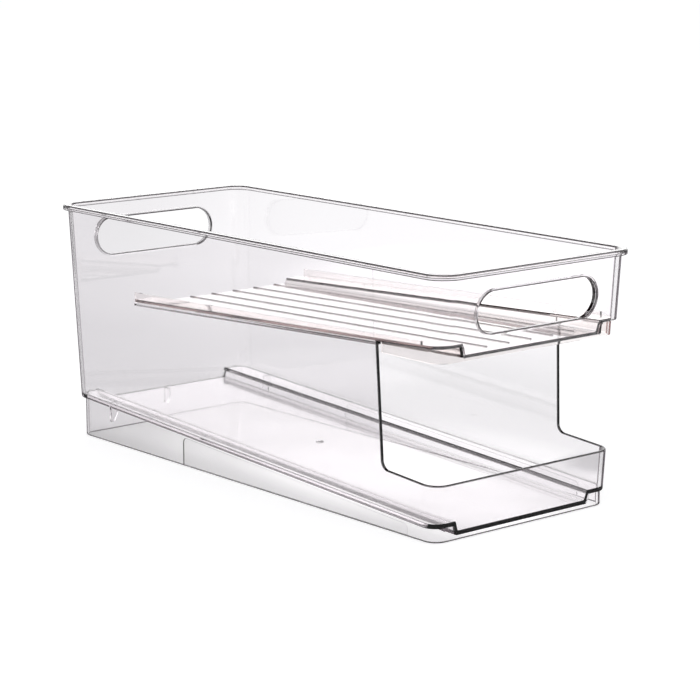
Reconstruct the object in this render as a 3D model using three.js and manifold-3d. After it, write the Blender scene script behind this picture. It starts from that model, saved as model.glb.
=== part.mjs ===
// Two-tier can organizer for a refrigerator, moulded in clear plastic.
// Cans are laid on the upper shelf, roll to the rear, drop through the gap there and roll
// forward on the lower floor to the low lip, where they are taken out.
// Millimetres, Z up. The front faces -Y and the left side faces -X.

import * as THREE from 'three';
import { mergeVertices } from 'three/addons/utils/BufferGeometryUtils.js';
import Module from 'manifold-3d';

const wasm = await Module();
wasm.setup();

// The bin, measured over its rim
const length = 356;
const width = 146;
const height = 146;
const cornerRadius = 13.5;

// Walls, which lean in towards the foot
const wallThickness = 2;
const sideDraftShare = 0.0207;
const endDraftShare = 0.0645;
const footRadius = 9;

// Rim, turned out and down all the way round
const rimReach = 3;
const rimDrop = 3.2;
const rimThickness = 1.6;
const rimLipThickness = 1.2;
const rimRounding = 0.9;

// Lower floor, with a rail along each side and a trough between them
const floorThickness = 2.5;
const floorFrontHeight = 10.4;
const floorRearHeight = 27.4;
const railWidth = 15.5;
const stepRun = 1.8;
const riserShare = 0.7;
const floorStep = 5.6;

// Skirt that the bin stands on
const skirtThickness = 2;
const skirtSideInset = 2.2;
const skirtEndInset = 0.8;
const skirtRadius = 8;
const panelFromFront = 34;
const panelLength = 201;
const panelDepth = 0.5;
const panelMargin = 2.2;
const panelRadius = 3;
const gussetFromRear = 44;
const gussetThickness = 1.6;
const gussetReach = 5;
const gussetDrop = 10;

// Shelf of the upper tier
const shelfFrontHeight = 107.6;
const shelfRearHeight = 95.4;
const shelfThickness = 1.7;
const shelfFrontStep = 6.3;
const shelfRearStep = 3.2;
const shelfClearance = 0.4;
const dropGap = 69;
const upstandThickness = 1.5;
const upstandFrontHeight = 1.6;
const upstandRearHeight = 4.2;
const apronThickness = 1.5;
const apronDepth = 10;
const apronClearance = 1.2;
const ribCount = 6;
const ribHeight = 1;
const ribFootWidth = 1.8;
const ribTopWidth = 1;
const ribFromFront = 10;

// Ledges in the walls that the shelf rests on
const seatGap = 0.3;
const ledgeReach = 4;
const ledgeTipThickness = 1.4;
const ledgeRootThickness = 2.5;

// Window cut through the front and round both front corners
const windowFrontSill = 30.6;
const windowRearSill = 34.2;
const windowSillFromFront = 52;
const windowHeadFromFront = 55.3;
const windowRadius = 5;

// Handle slots in the front and rear walls
const slotLength = 88;
const slotHeight = 22.7;
const slotFromTop = 23.5;

// How far a cut runs past what it cuts, how finely a corner is drawn, the least edge kept, and
// how near two corners are taken as one
const overrun = 5;
const cornerSteps = 12;
const shortestEdge = 0.01;
const weldDistance = 0.0001;

// Half sizes of the walls' outer faces at a height
const wallHalfWidth = (z) => width / 2 - rimReach - (height - z) * sideDraftShare;
const wallHalfLength = (z) => length / 2 - rimReach - (height - z) * endDraftShare;
const wallRadius = (z) => footRadius + (cornerRadius - rimReach - footRadius) * (z / height);

// Heights that several pieces share
const frontY = -wallHalfLength(floorFrontHeight);
const rearY = wallHalfLength(floorRearHeight);
const floorSlope = (floorRearHeight - floorFrontHeight) / (rearY - frontY);
const floorHeight = (y) => floorFrontHeight + (y - frontY) * floorSlope;
const shelfFrontY = -(wallHalfLength(shelfFrontHeight) - wallThickness - shelfClearance);
const shelfRearY = wallHalfLength(shelfRearHeight) - wallThickness - dropGap;
const shelfRunShare = (y) => (y - shelfFrontY) / (shelfRearY - shelfFrontY);
const alongShelf = (front, rear, y) => front + (rear - front) * shelfRunShare(y);
const shelfHeight = (y) => alongShelf(shelfFrontHeight, shelfRearHeight, y);
const shelfStep = (y) => alongShelf(shelfFrontStep, shelfRearStep, y);
const windowHeadRear = windowHeadFromFront - length / 2;

// Makes a solid that can be joined and cut out of a closed surface
function solidOf(geometry) {
  geometry.deleteAttribute('normal');
  geometry.deleteAttribute('uv');
  const welded = mergeVertices(geometry, weldDistance);
  const vertProperties = new Float32Array(welded.attributes.position.array);
  const triVerts = new Uint32Array(welded.index.array);
  const a = new THREE.Vector3();
  const b = new THREE.Vector3();
  const c = new THREE.Vector3();
  let volume = 0;
  for (let i = 0; i < triVerts.length; i += 3) {
    a.fromArray(vertProperties, triVerts[i] * 3);
    b.fromArray(vertProperties, triVerts[i + 1] * 3);
    c.fromArray(vertProperties, triVerts[i + 2] * 3);
    volume += a.dot(b.cross(c));
  }
  if (volume < 0) triVerts.reverse();
  return new wasm.Manifold(new wasm.Mesh({ numProp: 3, vertProperties, triVerts }));
}

// Joins closed sections, of the same number of points, into one solid with flat ends
function loft(sections, place) {
  const count = sections[0].length;
  const positions = [];
  const index = [];
  sections.forEach((section, level) => {
    section.forEach(([u, v]) => positions.push(...place(u, v, level)));
  });
  for (let level = 0; level + 1 < sections.length; level++) {
    for (let i = 0; i < count; i++) {
      const next = (i + 1) % count;
      const low = level * count;
      const high = low + count;
      index.push(low + i, low + next, high + next, low + i, high + next, high + i);
    }
  }
  [0, sections.length - 1].forEach((level) => {
    const outline = sections[level].map(([u, v]) => new THREE.Vector2(u, v));
    const turned = THREE.ShapeUtils.isClockWise(outline) === (level > 0);
    THREE.ShapeUtils.triangulateShape(outline, []).forEach((face) => {
      const corners = face.map((corner) => corner + level * count);
      index.push(...(turned ? corners.reverse() : corners));
    });
  });
  const geometry = new THREE.BufferGeometry();
  geometry.setAttribute('position', new THREE.Float32BufferAttribute(positions, 3));
  geometry.setIndex(index);
  return solidOf(geometry);
}

// Outline of a rectangle with rounded corners
function roundedOutline(halfWidth, halfLength, radius) {
  const points = [];
  const corners = [[1, 1], [-1, 1], [-1, -1], [1, -1]];
  corners.forEach(([sx, sy], corner) => {
    for (let step = 0; step <= cornerSteps; step++) {
      const angle = (corner + step / cornerSteps) * (Math.PI / 2);
      const x = sx * (halfWidth - radius) + radius * Math.cos(angle);
      const y = sy * (halfLength - radius) + radius * Math.sin(angle);
      points.push([x, y]);
    }
  });
  return points;
}

// Block whose sides follow the walls, set in from their outer faces
function wallBlock(inset, lowZ, highZ) {
  const outlines = [lowZ, highZ].map((z) => {
    return roundedOutline(wallHalfWidth(z) - inset, wallHalfLength(z) - inset, wallRadius(z) - inset);
  });
  return loft(outlines, (x, y, level) => [x, y, level ? highZ : lowZ]);
}

// Block with upright rounded sides
function uprightBlock(halfWidth, halfLength, radius, lowZ, highZ) {
  const outline = roundedOutline(halfWidth, halfLength, radius);
  return loft([outline, outline], (x, y, level) => [x, y, level ? highZ : lowZ]);
}

// Bar that runs from front to rear between two sections drawn in X and Z
function bar(sectionAt, fromY, toY) {
  return loft([sectionAt(fromY), sectionAt(toY)], (x, z, level) => [x, level ? toY : fromY, z]);
}

// Section with a rail at each side and a trough between them, filled up or down to a far height.
// Dropped to an underside, it also spreads, so that the risers are as thick as the rest.
function railSection(half, railHeight, step, drop, farZ) {
  const top = railHeight - drop;
  const railEdge = half - railWidth + drop * riserShare;
  const troughEdge = railEdge - stepRun;
  const wide = half + overrun;
  return [
    [-wide, farZ], [-wide, top], [-railEdge, top], [-troughEdge, top - step],
    [troughEdge, top - step], [railEdge, top], [wide, top], [wide, farZ],
  ];
}

// Points along one rounded corner, as the window, the panel and the slots have
function arc(centre, radius, fromTurn, toTurn) {
  const points = [];
  for (let step = 0; step <= cornerSteps; step++) {
    const angle = (fromTurn + (toTurn - fromTurn) * (step / cornerSteps)) * (Math.PI * 2);
    points.push([centre[0] + radius * Math.cos(angle), centre[1] + radius * Math.sin(angle)]);
  }
  return points;
}

// Plate drawn in Y and Z, with its faces at two places in X
function sidePlate(outline, fromX, toX) {
  return loft([outline, outline], (y, z, level) => [level ? toX : fromX, y, z]);
}

const floorHalf = wallHalfWidth(floorFrontHeight) - wallThickness;
const shelfInset = wallThickness + shelfClearance;
const shelfHalf = wallHalfWidth(shelfRearHeight) - shelfInset;
const ribPitch = 2 * (shelfHalf - railWidth - stepRun) / ribCount;
const farY = length / 2 + overrun;
const farBelow = -height;
const farAbove = height * 2;

const floorSection = (drop, farZ) => (y) => {
  return railSection(floorHalf, floorHeight(y), floorStep, drop, farZ);
};
const shelfSection = (drop, farZ) => (y) => {
  return railSection(shelfHalf, shelfHeight(y), shelfStep(y), drop, farZ);
};

// Hollow of the bin, which flares a little at its mouth
function makeHollow() {
  const levels = [-overrun, height - rimRounding, height, height + overrun];
  const outlines = levels.map((z) => {
    const inset = z < height ? wallThickness : wallThickness - rimRounding;
    return roundedOutline(wallHalfWidth(z) - inset, wallHalfLength(z) - inset, wallRadius(z) - inset);
  });
  const aboveFloor = bar(floorSection(0, farAbove), -farY, farY);
  return loft(outlines, (x, y, level) => [x, y, levels[level]]).intersect(aboveFloor);
}

// Walls and floor in one tub
function makeTub() {
  const belowFloor = bar(floorSection(floorThickness, farBelow), -farY, farY);
  return wallBlock(0, -overrun, height).subtract(belowFloor);
}

// Rim with its turned-down lip and a softened outer edge, swept round the mouth
function makeRim() {
  const low = height - rimDrop;
  const under = height - rimThickness;
  const root = rimReach + wallThickness / 2;
  const section = [
    [0, low], [0, height - rimRounding], [rimRounding, height], [root, height],
    [root, under], [rimLipThickness, under], [rimLipThickness, low],
  ];
  const rings = section.map(([inset, z]) => {
    const outline = roundedOutline(width / 2 - inset, length / 2 - inset, cornerRadius - inset);
    return outline.map(([x, y]) => [x, y, z]);
  });
  const around = rings[0].length;
  const index = [];
  rings.forEach((ring, row) => {
    const nextRow = (row + 1) % rings.length;
    ring.forEach((point, i) => {
      const a = row * around + i;
      const b = row * around + (i + 1) % around;
      const c = nextRow * around + (i + 1) % around;
      const d = nextRow * around + i;
      index.push(a, b, c, a, c, d);
    });
  });
  const geometry = new THREE.BufferGeometry();
  geometry.setAttribute('position', new THREE.Float32BufferAttribute(rings.flat(2), 3));
  geometry.setIndex(index);
  return solidOf(geometry);
}

// Skirt under the floor, with a sunk panel in each side and small gussets behind it
function makeSkirt() {
  const halfWidth = wallHalfWidth(floorFrontHeight) - skirtSideInset;
  const halfLength = wallHalfLength(floorFrontHeight) - skirtEndInset;
  const topZ = floorRearHeight;
  const aboveSkirt = bar(floorSection(floorThickness / 2, farAbove), -farY, farY);
  const underFloor = (y) => floorHeight(y) - floorThickness;
  const outer = uprightBlock(halfWidth, halfLength, skirtRadius, 0, topZ);
  const inner = uprightBlock(halfWidth - skirtThickness, halfLength - skirtThickness,
    skirtRadius - skirtThickness, -overrun, topZ + overrun);
  let skirt = outer.subtract(inner);

  const panelFront = panelFromFront - length / 2;
  const panelRear = panelFront + panelLength;
  const panelTop = (y) => underFloor(y) - panelMargin;
  const outline = [
    [panelFront, panelMargin],
    [panelRear, panelMargin],
    ...arc([panelRear - panelRadius, panelTop(panelRear) - panelRadius], panelRadius, 0, 1 / 4),
    ...arc([panelFront + panelRadius, panelTop(panelFront) - panelRadius], panelRadius, 1 / 4, 1 / 2),
  ];
  [-1, 1].forEach((side) => {
    const sunk = sidePlate(outline, side * (halfWidth - panelDepth), side * (halfWidth + overrun));
    skirt = skirt.subtract(sunk);
  });

  const gussetSection = (half, along, low) => {
    return [
      [half - skirtThickness / 2, low], [half - skirtThickness / 2, topZ],
      [half - skirtThickness - gussetReach, topZ], [half - skirtThickness - gussetReach, low + gussetReach],
      [half - skirtThickness - gussetReach / 2, low],
    ].map(([out, z]) => [out * along, z]);
  };
  const gussetY = length / 2 - gussetFromRear;
  [-1, 1].forEach((side) => {
    const outlineAt = () => gussetSection(halfWidth, side, underFloor(gussetY) - gussetDrop);
    skirt = skirt.add(bar(outlineAt, gussetY - gussetThickness / 2, gussetY + gussetThickness / 2));
  });
  const rearLow = underFloor(halfLength) - floorStep - gussetDrop;
  const rearGusset = gussetSection(halfLength, 1, rearLow);
  const rearStart = -gussetThickness / 2;
  skirt = skirt.add(sidePlate(rearGusset, rearStart, rearStart + gussetThickness));
  return skirt.subtract(aboveSkirt);
}

// Ledges under the shelf's rails, along both sides and round the front corners
function makeLedges() {
  const root = wallBlock(wallThickness / 2, 0, height);
  const inward = wallBlock(wallThickness + ledgeReach, -overrun, height + overrun);
  const ledgeTop = (y) => shelfHeight(y) - shelfThickness - seatGap;
  const railEdge = shelfHalf - railWidth + shelfThickness * riserShare + shelfClearance;
  const tip = shelfHalf - ledgeReach;
  const wide = shelfHalf + overrun;
  let ledges = null;
  [-1, 1].forEach((side) => {
    const section = (y) => [
      [railEdge, ledgeTop(y)], [wide, ledgeTop(y)], [wide, ledgeTop(y) - ledgeRootThickness],
      [shelfHalf, ledgeTop(y) - ledgeRootThickness], [tip, ledgeTop(y) - ledgeTipThickness],
      [railEdge, ledgeTop(y) - ledgeTipThickness],
    ].map(([x, z]) => [x * side, z]);
    const ledge = bar(section, -farY, shelfRearY).intersect(root.subtract(inward));
    ledges = ledges ? ledges.add(ledge) : ledge;
  });
  return ledges;
}

// Block that cuts the window through the front and both front corners, up to the shelf's underside
function makeWindow() {
  const front = -length / 2;
  const sillRear = front + windowSillFromFront;
  const outline = [
    [front - overrun, windowFrontSill],
    ...arc([sillRear - windowRadius, windowRearSill + windowRadius], windowRadius, 3 / 4, 1),
    [windowHeadRear, shelfFrontHeight],
    [front - overrun, shelfFrontHeight],
  ];
  const underShelf = bar(shelfSection(shelfThickness, farBelow), -farY, farY);
  return sidePlate(outline, -width, width).intersect(underShelf);
}

// Block that cuts one handle slot through the front and the rear wall
function makeSlots() {
  const centreZ = height - slotFromTop;
  const radius = slotHeight / 2;
  const reach = slotLength / 2 - radius;
  const outline = [
    ...arc([reach, centreZ], radius, -1 / 4, 1 / 4),
    ...arc([-reach, centreZ], radius, 1 / 4, 3 / 4),
  ];
  return bar(() => outline, -length, length);
}

function makeBin() {
  return makeTub()
    .add(makeRim())
    .subtract(makeHollow())
    .add(makeLedges())
    .add(makeSkirt())
    .subtract(makeWindow())
    .subtract(makeSlots())
    .simplify(shortestEdge);
}

// Low upstands along both sides of the shelf, before their outer faces are cut
function makeUpstands(tray) {
  const behind = wallBlock(shelfInset + upstandThickness, -overrun, height + overrun);
  const upstandTop = (y) => shelfHeight(y) + alongShelf(upstandFrontHeight, upstandRearHeight, y);
  const upstandStart = shelfFrontY + cornerRadius;
  return [-1, 1].reduce((joined, side) => {
    const section = (y) => [
      [side * (shelfHalf - railWidth), shelfHeight(y) - shelfThickness / 2],
      [side * (shelfHalf + overrun), shelfHeight(y) - shelfThickness / 2],
      [side * (shelfHalf + overrun), upstandTop(y)],
      [side * (shelfHalf - railWidth), upstandTop(y)],
    ];
    return joined.add(bar(section, upstandStart, shelfRearY).subtract(behind));
  }, tray);
}

// Apron that hangs below the shelf in the head of the window, before its outer faces are cut
function makeApron() {
  const low = shelfFrontHeight - apronDepth;
  const rear = windowHeadRear - apronClearance;
  const outline = [[-farY, low], [rear, low], [rear, shelfHeight(rear)], [-farY, shelfHeight(-farY)]];
  const underTray = bar(shelfSection(shelfThickness / 2, farBelow), -farY, farY);
  const inside = wallBlock(shelfInset + apronThickness, -overrun, height + overrun);
  return sidePlate(outline, -width, width).intersect(underTray).subtract(inside);
}

function makeShelf() {
  const top = bar(shelfSection(0, farBelow), -farY, shelfRearY);
  const below = bar(shelfSection(shelfThickness, farBelow), -farY - overrun, farY);
  const outside = wallBlock(shelfInset, 0, height);
  let shelf = makeUpstands(top.subtract(below).add(makeApron())).intersect(outside);

  const ribStart = shelfFrontY + ribFromFront;
  for (let i = 0; i < ribCount; i++) {
    const x = (i - (ribCount - 1) / 2) * ribPitch;
    const section = (y) => {
      const foot = shelfHeight(y) - shelfStep(y);
      return [
        [x - ribFootWidth / 2, foot - shelfThickness / 2], [x + ribFootWidth / 2, foot - shelfThickness / 2],
        [x + ribTopWidth / 2, foot + ribHeight], [x - ribTopWidth / 2, foot + ribHeight],
      ];
    };
    shelf = shelf.add(bar(section, ribStart, shelfRearY));
  }
  return shelf.simplify(shortestEdge);
}

// Clear plastic as it comes from the mould
const clearPlastic = new THREE.MeshStandardMaterial({
  name: 'clear_plastic',
  color: 0xe6e3e6,
  roughness: 0.08,
  metalness: 0,
  transparent: true,
  opacity: 0.35,
});

function meshOf(solid, name) {
  const { numProp, vertProperties, triVerts } = solid.getMesh();
  const positions = [];
  for (let i = 0; i < vertProperties.length; i += numProp) {
    positions.push(vertProperties[i], vertProperties[i + 1], vertProperties[i + 2]);
  }
  const geometry = new THREE.BufferGeometry();
  geometry.setAttribute('position', new THREE.Float32BufferAttribute(positions, 3));
  geometry.setIndex([...triVerts]);
  const faceted = geometry.toNonIndexed();
  faceted.computeVertexNormals();
  const mesh = new THREE.Mesh(faceted, clearPlastic);
  mesh.name = name;
  return mesh;
}

const organizer = new THREE.Group();
organizer.name = 'can_organizer';
organizer.add(meshOf(makeBin(), 'bin_body'));
organizer.add(meshOf(makeShelf(), 'upper_shelf'));

export default organizer;
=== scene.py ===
"""Clear two-tier can organizer, dressed for the camera.

The bin is one clear moulding and the shelf that lifts out of it is another. Each is built here
as a fine closed mesh from the same sizes as the fixed frame, and stands for its node.
"""

import logging
import math
from collections.abc import Callable, Iterable
from dataclasses import dataclass
from enum import Enum
from functools import partial, reduce
from typing import Any

import bmesh
import bpy
from bmesh.types import BMesh
from bpy.types import Material, Mesh, MeshPolygon, Node, NodeSocket, NodeTree, Object, World
from mathutils import Matrix, Vector


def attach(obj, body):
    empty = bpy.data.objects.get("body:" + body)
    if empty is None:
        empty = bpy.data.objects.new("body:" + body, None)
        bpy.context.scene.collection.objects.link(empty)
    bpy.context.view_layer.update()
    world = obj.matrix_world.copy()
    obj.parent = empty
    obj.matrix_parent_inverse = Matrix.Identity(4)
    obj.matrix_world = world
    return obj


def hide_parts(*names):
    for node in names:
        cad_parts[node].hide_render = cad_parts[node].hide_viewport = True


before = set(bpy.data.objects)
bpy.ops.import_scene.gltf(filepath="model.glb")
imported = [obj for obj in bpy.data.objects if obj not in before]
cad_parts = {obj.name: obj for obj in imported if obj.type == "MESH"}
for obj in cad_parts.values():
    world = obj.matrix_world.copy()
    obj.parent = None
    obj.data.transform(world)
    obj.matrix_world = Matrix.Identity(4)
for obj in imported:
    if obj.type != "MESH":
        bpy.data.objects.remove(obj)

log = logging.getLogger("can_organizer")

Point = tuple[float, float]
Place = tuple[float, float, float]
# A corner of an outline: its two coordinates and its radius.
Corner = tuple[float, float, float]
Span = tuple[float, float]
Colour = tuple[float, float, float, float]
Ring = list[Place]
Section = Callable[[float], list[Point]]

# Face attribute that holds each face's share of the painted dark edge shade.
EDGE_SHADE_LAYER = "edge"
WHITE = "#ffffff"
MM = 0.001
CORNER_STEPS = 24
FILLET_STEPS = 4
QUARTER_TURN = [step / FILLET_STEPS * math.pi / 2 for step in range(FILLET_STEPS + 1)]
# How far a cutting shape reaches past what it cuts, in millimetres.
OVERRUN = 5.0
# Points nearer than this are one point, in millimetres.
MERGE_GAP = 0.002
FLAT_ANGLE = math.radians(0.05)
CUT_ANGLE = math.radians(40)
SMOOTH_ANGLE = math.radians(28)
# Shares of a face's normal that lie along an axis, and so say which way the face looks.
LEANING = (0.15, 0.97)
SQUARE_ON = 0.9
LOOKS_DOWN = -0.3
# How dark the painted shade makes the bottom of a shallow recess, beside the rounding of an edge.
SUNK_PAINTED_SHADE = 0.16


def linear(hex_colour: str) -> Colour:
    """Turn an sRGB hex colour into linear light.

    Args:
        hex_colour: Six digits after a hash sign.

    Returns:
        Red, green, blue and a full alpha.
    """
    parts = [int(hex_colour[i:i + 2], 16) / 255 for i in (1, 3, 5)]
    red, green, blue = [p / 12.92 if p <= 0.04045 else ((p + 0.055) / 1.055) ** 2.4 for p in parts]
    return red, green, blue, 1.0


def grey(level: float) -> Colour:
    """Give an even grey by its linear level, which may be brighter than white."""
    return level, level, level, 1.0


def empty_tree(owner: Material | World) -> NodeTree:
    """Empty the node tree of a material or of the world.

    Args:
        owner: What the tree belongs to.

    Returns:
        The tree.
    """
    owner.use_nodes = True
    owner.node_tree.nodes.clear()
    return owner.node_tree


def add(tree: NodeTree, kind: str, inputs: dict[Any, Any] | None = None, **settings: Any) -> Node:
    """Add one node with its settings, and feed its inputs.

    Args:
        tree: The tree that the node joins.
        kind: The node's type name.
        inputs: What feeds each input. A socket is linked, and anything else is a plain value.
        **settings: Attributes of the node itself.

    Returns:
        The new node.
    """
    node = tree.nodes.new(kind)
    for name, value in settings.items():
        setattr(node, name, value)
    for key, given in (inputs or {}).items():
        if isinstance(given, NodeSocket):
            tree.links.new(given, node.inputs[key])
        else:
            node.inputs[key].default_value = given
    return node


def ends(label: str, pair: Span) -> dict[str, float]:
    """Name the two ends of a range, as From or To has them on a node."""
    return {f"{label} Min": pair[0], f"{label} Max": pair[1]}


def placed(name: str, data: Any) -> Object:
    """Put a mesh, a lamp or a camera into the scene.

    Args:
        name: The new object's name.
        data: What the object shows.

    Returns:
        The object.
    """
    thing = bpy.data.objects.new(name, data)
    bpy.context.scene.collection.objects.link(thing)
    return thing


def evaluated_mesh(thing: Object) -> Mesh:
    """Keep the plain mesh that an object's modifiers make."""
    graph = bpy.context.evaluated_depsgraph_get()
    return bpy.data.meshes.new_from_object(thing.evaluated_get(graph))


@dataclass(frozen=True)
class ClearPolystyrene:
    """Crystal polystyrene, injection moulded in a polished tool.

    The eye sees straight through a wall. The grey line where it looks along one and the near black
    where an edge carries the light away down the length of the sheet are painted shade in the
    colour, and the grey line also darkens the reflections. A moulding this thin is never quite flat,
    and cans leave fine marks along the way that they roll.
    Lengths are in metres.
    """

    name: str = "clear_polystyrene_moulded"
    surface_tint: str = "#fdfcfd"
    # The dark colour that edges and glances along a wall are painted with, standing in for shade.
    painted_edge_shade: str = "#2e282c"
    edge_from: float = 0.86
    edge_strength: float = 0.92
    # Where and how strongly a glance along an upright wall is painted with shade, strongest round the
    # front corners.
    wall_lean: float = 0.4
    corner_turn: Span = (0.05, 0.3)
    corner_run: Span = (-0.15, 0.15)
    corner_gain: Span = (0.62, 0.38)
    ior: float = 1.59
    depth_tint: str = "#86697c"
    depth_per_metre: float = 26.0
    polish: Span = (0.012, 0.034)
    haze_spacing: float = 0.018
    haze_band: Span = (0.3, 0.7)
    ripple_spacing: float = 0.030
    ripple_height: float = 0.00005
    mark_spacing: Span = (0.0012, 0.06)
    mark_band: Span = (0.60, 0.72)
    mark_lean: float = 0.8
    mark_roughness: float = 0.10
    foot_wear: float = 0.0012
    foot_roughness: float = 0.28

    def build(self) -> Material:
        """Build the material's nodes.

        Returns:
            The finished material.
        """
        material = bpy.data.materials.new(self.name)
        tree = empty_tree(material)
        place = add(tree, "ShaderNodeTexCoord")
        along = self._along_the_wall(tree, place)
        # Rounded and cut faces carry painted dark edge shade through this attribute.
        edge = add(tree, "ShaderNodeAttribute", attribute_name=EDGE_SHADE_LAYER)
        rounded = add(tree, "ShaderNodeMath", {0: edge.outputs["Fac"], 1: self.edge_strength},
                      operation="MULTIPLY")
        darker = add(tree, "ShaderNodeMath", {0: along, 1: rounded.outputs[0]}, operation="MAXIMUM")
        # The base colour takes all the painted shade; the specular tint takes only the glance's, which
        # paints the reflections there darker.
        surface = add(tree, "ShaderNodeBsdfPrincipled", {
            "Base Color": self._with_painted_shade(tree, darker.outputs[0]), "Specular Tint": self._with_painted_shade(tree, along),
            "Roughness": self._roughness(tree, place), "Normal": self._ripple(tree, place),
            "IOR": self.ior, "Transmission Weight": 1.0})
        depth = add(tree, "ShaderNodeVolumeAbsorption", {
            "Color": linear(self.depth_tint), "Density": self.depth_per_metre})
        add(tree, "ShaderNodeOutputMaterial",
            {"Surface": surface.outputs[0], "Volume": depth.outputs[0]})
        return material

    def _along_the_wall(self, tree: NodeTree, place: Node) -> NodeSocket:
        """Find where the eye looks along an upright wall, most of all round a front corner, to paint
        shade there.

        Args:
            tree: The material's tree.
            place: The node that gives the place and the normal on the piece.

        Returns:
            How far the eye looks along it, 0 to 1, as the share of painted shade.
        """
        normal = add(tree, "ShaderNodeSeparateXYZ", {"Vector": place.outputs["Normal"]})
        lean = add(tree, "ShaderNodeMath", {0: normal.outputs["Z"]}, operation="ABSOLUTE")
        upright = add(tree, "ShaderNodeMath", {0: lean.outputs[0], 1: self.wall_lean},
                      operation="LESS_THAN")
        glance = add(tree, "ShaderNodeLayerWeight", {"Blend": 0.5})
        both_ways = add(tree, "ShaderNodeMath", {0: normal.outputs["X"], 1: normal.outputs["Y"]},
                        operation="MULTIPLY")
        turned = add(tree, "ShaderNodeMath", {0: both_ways.outputs[0]}, operation="ABSOLUTE")
        spot = add(tree, "ShaderNodeSeparateXYZ", {"Vector": place.outputs["Object"]})
        # The painted shade is made stronger towards the front than towards the rear.
        gain = add(tree, "ShaderNodeMapRange", {
            "Value": spot.outputs["Y"], **ends("From", self.corner_run),
            **ends("To", self.corner_gain)})
        at_corner = add(tree, "ShaderNodeMapRange", {
            "Value": turned.outputs[0], **ends("From", self.corner_turn),
            "To Max": gain.outputs["Result"]})
        glance_there = add(tree, "ShaderNodeMath", {
            0: glance.outputs["Facing"], 1: at_corner.outputs["Result"]}, operation="ADD")
        along = add(tree, "ShaderNodeMapRange", {
            "Value": glance_there.outputs[0], "From Min": self.edge_from, "From Max": 1.0},
            interpolation_type="SMOOTHSTEP")
        return add(tree, "ShaderNodeMath", {0: along.outputs["Result"], 1: upright.outputs[0]},
                   operation="MULTIPLY").outputs[0]

    def _with_painted_shade(self, tree: NodeTree, share: NodeSocket) -> NodeSocket:
        """Mix the clear colour and the dark painted edge shade.

        Args:
            tree: The material's tree.
            share: How much of the painted shade, 0 to 1.

        Returns:
            The mixed colour.
        """
        return add(tree, "ShaderNodeMix", {
            "Factor": share, "A": linear(self.surface_tint), "B": linear(self.painted_edge_shade)},
            data_type="RGBA").outputs["Result"]

    def _roughness(self, tree: NodeTree, place: Node) -> NodeSocket:
        """Vary the polish, mark the faces that cans roll on and wear the edge that stands down.

        Args:
            tree: The material's tree.
            place: The node that gives the place and the normal on the piece.

        Returns:
            The roughness.
        """
        haze = add(tree, "ShaderNodeTexNoise", {
            "Vector": place.outputs["Object"], "Scale": 1 / self.haze_spacing, "Detail": 3.0})
        polish = add(tree, "ShaderNodeMapRange", {
            "Value": haze.outputs[0], **ends("From", self.haze_band), **ends("To", self.polish)})
        across, along = self.mark_spacing
        drawn = add(tree, "ShaderNodeVectorMath", {
            0: place.outputs["Object"], 1: (1 / across, 1 / along, 1 / along)},
            operation="MULTIPLY")
        # Real rolling marks are hair fine; these are drawn about a millimetre wide so that they show.
        streaks = add(tree, "ShaderNodeTexNoise", {
            "Vector": drawn.outputs[0], "Scale": 1.0, "Detail": 4.0, "Roughness": 0.7})
        sparse = add(tree, "ShaderNodeMapRange", {
            "Value": streaks.outputs[0], **ends("From", self.mark_band),
            "To Max": self.mark_roughness})
        normal = add(tree, "ShaderNodeSeparateXYZ", {"Vector": place.outputs["Normal"]})
        upward = add(tree, "ShaderNodeMath", {0: normal.outputs["Z"], 1: self.mark_lean},
                     operation="GREATER_THAN")
        marked = add(tree, "ShaderNodeMath", {
            0: sparse.outputs["Result"], 1: upward.outputs[0], 2: polish.outputs["Result"]},
            operation="MULTIPLY_ADD")
        height = add(tree, "ShaderNodeSeparateXYZ", {"Vector": place.outputs["Object"]})
        foot = add(tree, "ShaderNodeMapRange", {
            "Value": height.outputs["Z"], "From Min": self.foot_wear, "From Max": 0.0,
            "To Max": self.foot_roughness})
        return add(tree, "ShaderNodeMath", {0: marked.outputs[0], 1: foot.outputs["Result"]},
                   operation="ADD").outputs[0]

    def _ripple(self, tree: NodeTree, place: Node) -> NodeSocket:
        """Let the surface wave a few hundredths of a millimetre, as the melt left it.

        Args:
            tree: The material's tree.
            place: The node that gives the place and the normal on the piece.

        Returns:
            The bent normal.
        """
        wave = add(tree, "ShaderNodeTexNoise", {
            "Vector": place.outputs["Object"], "Scale": 1 / self.ripple_spacing, "Detail": 1.0,
            "Roughness": 0.4})
        bump = add(tree, "ShaderNodeBump", {
            "Height": wave.outputs[0], "Strength": 1.0, "Distance": self.ripple_height})
        return bump.outputs["Normal"]


# The shelf's plastic is a little warmer, and its long edges are painted with a brown shade.
SHELF_POLYSTYRENE = ClearPolystyrene(
    name="clear_polystyrene_shelf", surface_tint="#faf7f6", painted_edge_shade="#54302e",
    depth_tint="#dabcb6", depth_per_metre=28.0)


class Mark(Enum):
    """What made a face, kept while a moulding is being built."""

    MOULDED = 0
    CUT = 1
    ROUNDED = 2
    SUNK = 3


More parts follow.
